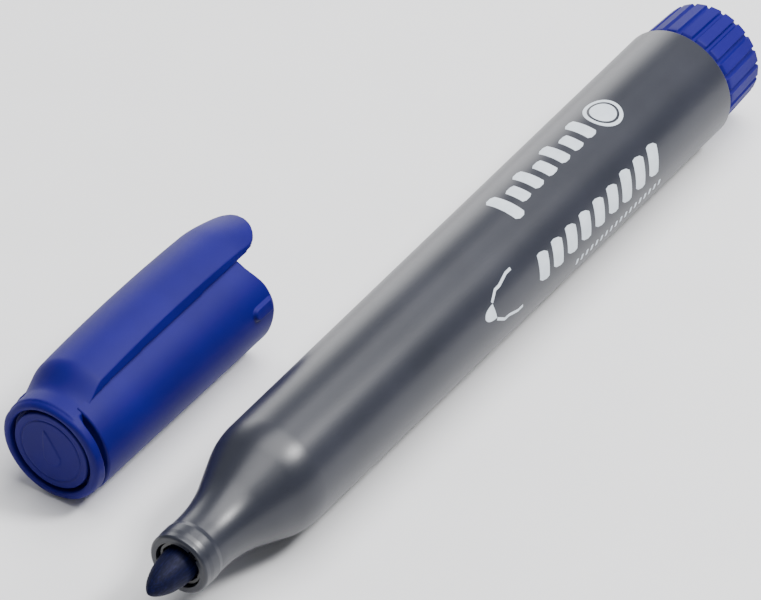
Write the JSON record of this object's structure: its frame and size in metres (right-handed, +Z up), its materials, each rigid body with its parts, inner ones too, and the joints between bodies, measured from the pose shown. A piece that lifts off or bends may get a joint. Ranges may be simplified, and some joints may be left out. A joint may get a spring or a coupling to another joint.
{
  "type": "marker pen",
  "caption": "Bullet-nib marker lying with its cap off: tapered barrel with shoulder and neck, ribbed tail plug, felt nib and ink reservoir, and a cap with a clip beside it.",
  "frame": {"origin": "middle of the object's box in plan, on the surface that the marker and its cap lie on", "axes": "+X along the marker from its tail to its nib, +Z up"},
  "size_m": [0.1374, 0.0444, 0.018],
  "materials": {
    "barrel_plastic": "satin blue-grey polypropylene",
    "cap_plastic": "fine matte blue polypropylene",
    "nib_felt": "ink-soaked pressed fibre",
    "holder_plastic": "glossy black",
    "reservoir_felt": "bundled polyester fibre",
    "film": "thin clear film",
    "seal_plastic": "natural polyethylene"
  },
  "bodies": {
    "marker": {"barrel": "barrel_plastic", "nib": "nib_felt", "nib_holder": "holder_plastic", "reservoir_core": "reservoir_felt", "reservoir_film": "film"},
    "plug": {"tail_plug": "cap_plastic"},
    "cap": {"cap_shell": "cap_plastic", "clip_ring": "cap_plastic", "seal_cup": "seal_plastic"},
    "clip": {"clip_arm": "cap_plastic"}
  },
  "joints": [
    {"name": "cap_carry", "type": "slide", "parent": "marker", "child": "cap", "axis": [0.9655, 0.2604, 0.0067], "range_m": [0, 0.10388]},
    {"name": "clip_flex", "type": "hinge", "parent": "cap", "child": "clip", "pos_m": [0.04487, -0.0161, 0.01647], "axis": [0.002, 0.9613, 0.2756], "range_deg": [0, 5], "stiffness_Nm_per_rad": 0.6},
    {"name": "plug_pull", "type": "slide", "parent": "marker", "child": "plug", "axis": [-1, 0, 0], "range_m": [0, 0.008]}
  ]
}
